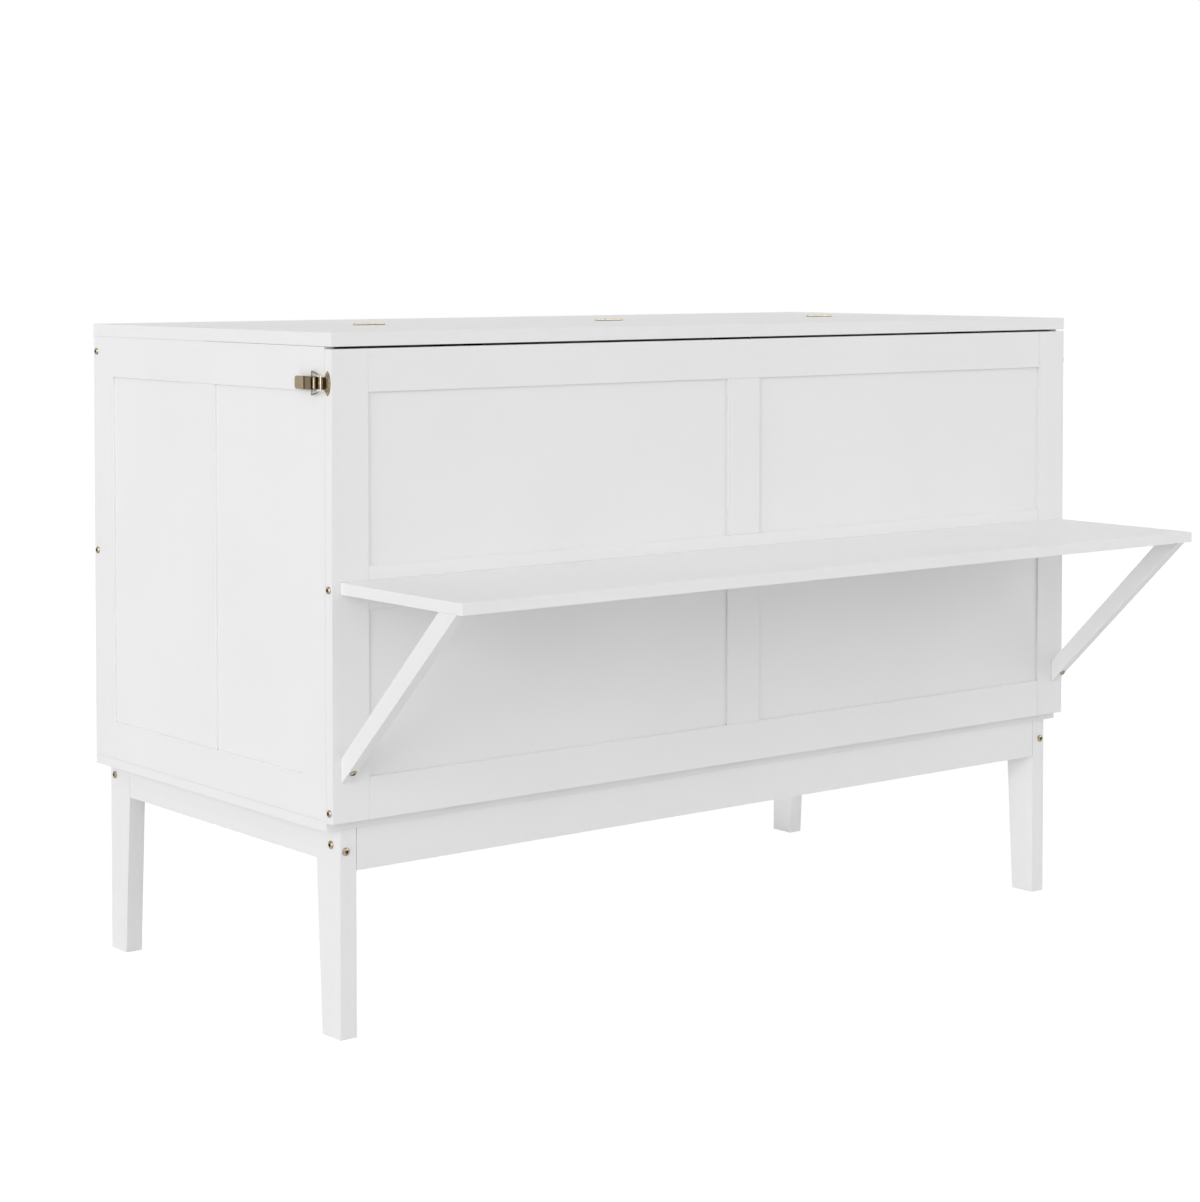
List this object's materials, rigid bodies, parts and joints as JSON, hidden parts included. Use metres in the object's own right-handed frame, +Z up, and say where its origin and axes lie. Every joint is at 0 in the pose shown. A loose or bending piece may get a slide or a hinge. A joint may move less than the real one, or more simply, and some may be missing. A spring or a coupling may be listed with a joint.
{
  "type": "wall bed",
  "caption": "White cabinet bed on tapered legs, with a hinged lid, a drop-down framed front panel, a braced desk shelf, draw latches and an unfolding slatted foot section.",
  "frame": {"origin": "on the floor, at the middle of the outline's width and depth, shelf included", "axes": "+X to the right as seen from the front, +Y to the back, +Z up; the shelf and desk side face -Y"},
  "size_m": [1.6448, 1.0564, 1.0814],
  "materials": {
    "white_paint": "satin white paint",
    "pine": "bare planed pine",
    "bronze": "antique bronze plating",
    "polished_brass": "satin brass",
    "black_steel": "black oxide",
    "steel": "zinc plated"
  },
  "bodies": {
    "cabinet": {"leg_front_left": "white_paint", "leg_front_right": "white_paint", "leg_rear_left": "white_paint", "leg_rear_right": "white_paint", "apron_front": "white_paint", "apron_rear": "white_paint", "apron_left": "white_paint", "apron_right": "white_paint", "base_centre_rail": "white_paint", "base_board_front": "white_paint", "base_board_rear": "white_paint", "top_board": "white_paint", "side_front_stile_left": "white_paint", "side_centre_stile_left": "white_paint", "side_rear_stile_left": "white_paint", "side_rails_left": "white_paint", "side_panels_left": "white_paint", "side_front_stile_right": "white_paint", "side_centre_stile_right": "white_paint", "side_rear_stile_right": "white_paint", "side_rails_right": "white_paint", "side_panels_right": "white_paint", "back_stiles": "white_paint", "back_rails": "white_paint", "back_panels": "white_paint", "cabinet_bolts": "bronze", "leg_bolts": "bronze", "lid_hinge_fixed_leaves": "polished_brass", "drop_hinge_fixed_leaves": "black_steel", "latch_bases": "bronze"},
    "lid": {"lid_board": "white_paint", "lid_hinge_moving_leaves": "polished_brass"},
    "front_panel": {"front_stile_left": "white_paint", "front_stile_right": "white_paint", "front_bottom_rail": "white_paint", "front_middle_rail": "white_paint", "front_top_rail": "white_paint", "front_centre_stiles": "white_paint", "front_panels": "white_paint", "shelf_board": "white_paint", "shelf_brace_left": "white_paint", "shelf_brace_right": "white_paint", "front_panel_bolts": "bronze", "shelf_screws": "steel", "drop_hinge_moving_leaves": "black_steel", "foot_hinge_fixed_leaves": "black_steel", "latch_catches": "bronze"},
    "foot_section": {"foot_hinge_rail": "white_paint", "foot_end_rail": "white_paint", "foot_long_rails": "white_paint", "foot_slats": "pine", "foot_hinge_moving_leaves": "black_steel", "leg_hinge_fixed_leaves": "black_steel"},
    "foot_leg": {"foot_leg_posts": "white_paint", "foot_leg_bar": "white_paint", "leg_hinge_moving_leaves": "black_steel"},
    "lever_left": {"latch_lever_left": "bronze"},
    "bail_left": {"latch_bail_left": "bronze"},
    "lever_right": {"latch_lever_right": "bronze"},
    "bail_right": {"latch_bail_right": "bronze"}
  },
  "joints": [
    {"name": "front_panel_drop", "type": "hinge", "parent": "cabinet", "child": "front_panel", "pos_m": [0, -0.1965, 0.337], "axis": [1, 0, 0], "range_deg": [0, 90]},
    {"name": "lid_open", "type": "hinge", "parent": "cabinet", "child": "lid", "pos_m": [0, 0.1582, 1.0794], "axis": [-1, 0, 0], "range_deg": [0, 180]},
    {"name": "foot_section_unfold", "type": "hinge", "parent": "front_panel", "child": "foot_section", "pos_m": [0, -0.1963, 1.0539], "axis": [1, 0, 0], "range_deg": [0, 180]},
    {"name": "foot_leg_swing", "type": "hinge", "parent": "foot_section", "child": "foot_leg", "pos_m": [0, -0.1553, 0.476], "axis": [-1, 0, 0], "range_deg": [0, 90]},
    {"name": "latch_lever_left_open", "type": "hinge", "parent": "cabinet", "child": "lever_left", "pos_m": [-0.8172, -0.1748, 1.002], "axis": [0, 0, 1], "range_deg": [0, 110]},
    {"name": "latch_bail_left_swing", "type": "hinge", "parent": "lever_left", "child": "bail_left", "pos_m": [-0.8184, -0.1698, 1.002], "axis": [0, 0, -1], "range_deg": [0, 110]},
    {"name": "latch_lever_right_open", "type": "hinge", "parent": "cabinet", "child": "lever_right", "pos_m": [0.8172, -0.1748, 1.002], "axis": [0, 0, -1], "range_deg": [0, 110]},
    {"name": "latch_bail_right_swing", "type": "hinge", "parent": "lever_right", "child": "bail_right", "pos_m": [0.8184, -0.1698, 1.002], "axis": [0, 0, 1], "range_deg": [0, 110]}
  ],
  "couplings": [
    {"joint": "lid_open", "follows": "front_panel_drop", "ratio": 2},
    {"joint": "foot_section_unfold", "follows": "front_panel_drop", "ratio": 2},
    {"joint": "foot_leg_swing", "follows": "front_panel_drop", "ratio": 1},
    {"joint": "latch_bail_left_swing", "follows": "latch_lever_left_open", "ratio": 1},
    {"joint": "latch_bail_right_swing", "follows": "latch_lever_right_open", "ratio": 1}
  ]
}
